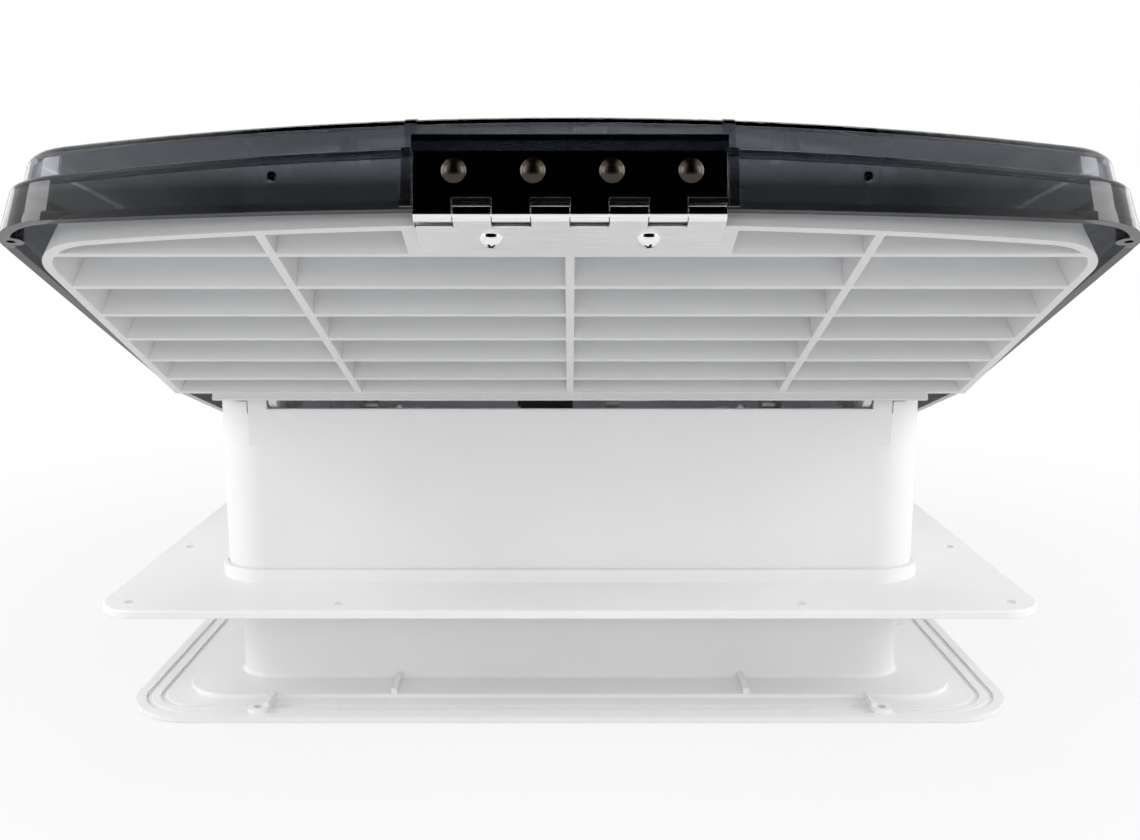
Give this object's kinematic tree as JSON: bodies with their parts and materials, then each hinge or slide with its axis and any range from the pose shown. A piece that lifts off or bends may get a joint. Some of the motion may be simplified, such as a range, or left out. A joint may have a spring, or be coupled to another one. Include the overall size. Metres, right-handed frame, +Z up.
{
  "type": "roof vent fan",
  "caption": "Square roof vent fan with a ducted fan, a roof flange, a ceiling frame and a smoked lid that tilts open on a folding louvre panel.",
  "frame": {"origin": "centre of the roof opening on the roof plane, the underside of the roof flange", "axes": "+Z up out of the roof, -Y towards the rear where the lid opens, +X to the right seen from the rear"},
  "size_m": [0.455, 0.6029, 0.2756],
  "materials": {
    "flange_white": "moulded white, satin gloss",
    "housing_white": "moulded white, satin",
    "garnish_white": "moulded white, satin",
    "shroud_grey": "moulded grey, matt",
    "fan_dark": "moulded dark grey, matt",
    "zinc_steel": "zinc plated",
    "screw_steel": "plain steel",
    "motor_black": "black enamel",
    "magnet_dark": "sintered ferrite, matt",
    "armature_steel": "laminated steel",
    "gearbox_metal": "cast, bead blasted",
    "nylon": "natural nylon",
    "smoked_lid": "smoked clear plastic, polished",
    "louvre_grey": "moulded light grey, satin",
    "rivet_bronze": "dark bronze",
    "hinge_steel": "polished stainless",
    "screw_chrome": "polished",
    "mesh_grey": "woven insect mesh",
    "board_green": "solder mask",
    "button_grey": "soft touch"
  },
  "bodies": {
    "base": {"roof_flange": "flange_white", "fan_housing": "housing_white", "ceiling_garnish": "garnish_white", "control_bezel": "garnish_white", "screen_frame": "garnish_white", "fan_shroud": "shroud_grey", "motor_spider": "zinc_steel", "lift_motor_bracket": "zinc_steel", "lid_pivot_pin_left": "zinc_steel", "lid_pivot_pin_right": "zinc_steel", "spider_screws": "screw_steel", "motor_screws": "screw_steel", "lift_bracket_screws": "screw_steel", "motor_can": "motor_black", "motor_end_cap": "motor_black", "lift_motor_can": "motor_black", "motor_magnets": "magnet_dark", "lift_gearbox": "gearbox_metal", "shaft_bearing_left": "nylon", "shaft_bearing_right": "nylon", "screen_mesh": "mesh_grey", "control_board": "board_green"},
    "lid": {"lid_shell": "smoked_lid", "hinge_lid_leaf": "hinge_steel", "hinge_rivets": "rivet_bronze", "lid_bracket_left": "zinc_steel", "lid_bracket_right": "zinc_steel", "lid_bracket_screws": "screw_steel"},
    "louvre": {"louvre_panel": "louvre_grey", "hinge_louvre_leaf": "hinge_steel", "hinge_pin": "hinge_steel", "hinge_screws": "screw_chrome", "louvre_pin_left": "zinc_steel", "louvre_pin_right": "zinc_steel"},
    "lift": {"lift_shaft": "zinc_steel", "lift_arm_left": "zinc_steel", "lift_arm_right": "zinc_steel", "lift_peg_left": "zinc_steel", "lift_peg_right": "zinc_steel", "lift_sector": "nylon"},
    "pinion": {"lift_pinion": "nylon"},
    "fan": {"fan_impeller": "fan_dark", "motor_shaft": "screw_steel", "motor_armature": "armature_steel", "fan_nut": "screw_steel"},
    "latch_left_rear": {"screen_latch_left_rear": "garnish_white"},
    "latch_left_front": {"screen_latch_left_front": "garnish_white"},
    "latch_right_rear": {"screen_latch_right_rear": "garnish_white"},
    "latch_right_front": {"screen_latch_right_front": "garnish_white"},
    "button_1": {"control_button_1": "button_grey"},
    "button_2": {"control_button_2": "button_grey"},
    "button_3": {"control_button_3": "button_grey"},
    "button_4": {"control_button_4": "button_grey"}
  },
  "joints": [
    {"name": "lid_tilt", "type": "hinge", "parent": "base", "child": "lid", "pos_m": [0, 0.105, 0.05], "axis": [1, 0, 0], "range_deg": [0, 11]},
    {"name": "louvre_fold", "type": "hinge", "parent": "lid", "child": "louvre", "pos_m": [0, -0.37245, 0.18794], "axis": [1, 0, 0], "range_deg": [0, 14.5]},
    {"name": "lift_swing", "type": "hinge", "parent": "base", "child": "lift", "pos_m": [0, -0.025, 0.079], "axis": [1, 0, 0], "range_deg": [0, 24.2]},
    {"name": "pinion_spin", "type": "hinge", "parent": "base", "child": "pinion", "pos_m": [0, -0.0565, 0.079], "axis": [1, 0, 0], "range_deg": [-60.5, 0]},
    {"name": "fan_spin", "type": "hinge", "parent": "base", "child": "fan", "pos_m": [0, 0, 0], "axis": [0, 0, 1], "continuous": true},
    {"name": "latch_turn_left_rear", "type": "hinge", "parent": "base", "child": "latch_left_rear", "pos_m": [-0.166, -0.08, -0.05], "axis": [0, 0, 1], "range_deg": [0, 90]},
    {"name": "latch_turn_left_front", "type": "hinge", "parent": "base", "child": "latch_left_front", "pos_m": [-0.166, 0.08, -0.05], "axis": [0, 0, 1], "range_deg": [-90, 0]},
    {"name": "latch_turn_right_rear", "type": "hinge", "parent": "base", "child": "latch_right_rear", "pos_m": [0.166, -0.08, -0.05], "axis": [0, 0, 1], "range_deg": [-90, 0]},
    {"name": "latch_turn_right_front", "type": "hinge", "parent": "base", "child": "latch_right_front", "pos_m": [0.166, 0.08, -0.05], "axis": [0, 0, 1], "range_deg": [0, 90]},
    {"name": "button_press_1", "type": "slide", "parent": "base", "child": "button_1", "axis": [0, 0, 1], "range_m": [0, 0.0009], "stiffness_N_per_m": 800},
    {"name": "button_press_2", "type": "slide", "parent": "base", "child": "button_2", "axis": [0, 0, 1], "range_m": [0, 0.0009], "stiffness_N_per_m": 800},
    {"name": "button_press_3", "type": "slide", "parent": "base", "child": "button_3", "axis": [0, 0, 1], "range_m": [0, 0.0009], "stiffness_N_per_m": 800},
    {"name": "button_press_4", "type": "slide", "parent": "base", "child": "button_4", "axis": [0, 0, 1], "range_m": [0, 0.0009], "stiffness_N_per_m": 800}
  ],
  "couplings": [
    {"joint": "louvre_fold", "follows": "lid_tilt", "ratio": 1.3094},
    {"joint": "lift_swing", "follows": "lid_tilt", "ratio": 2.1803},
    {"joint": "pinion_spin", "follows": "lid_tilt", "ratio": -5.4509}
  ]
}
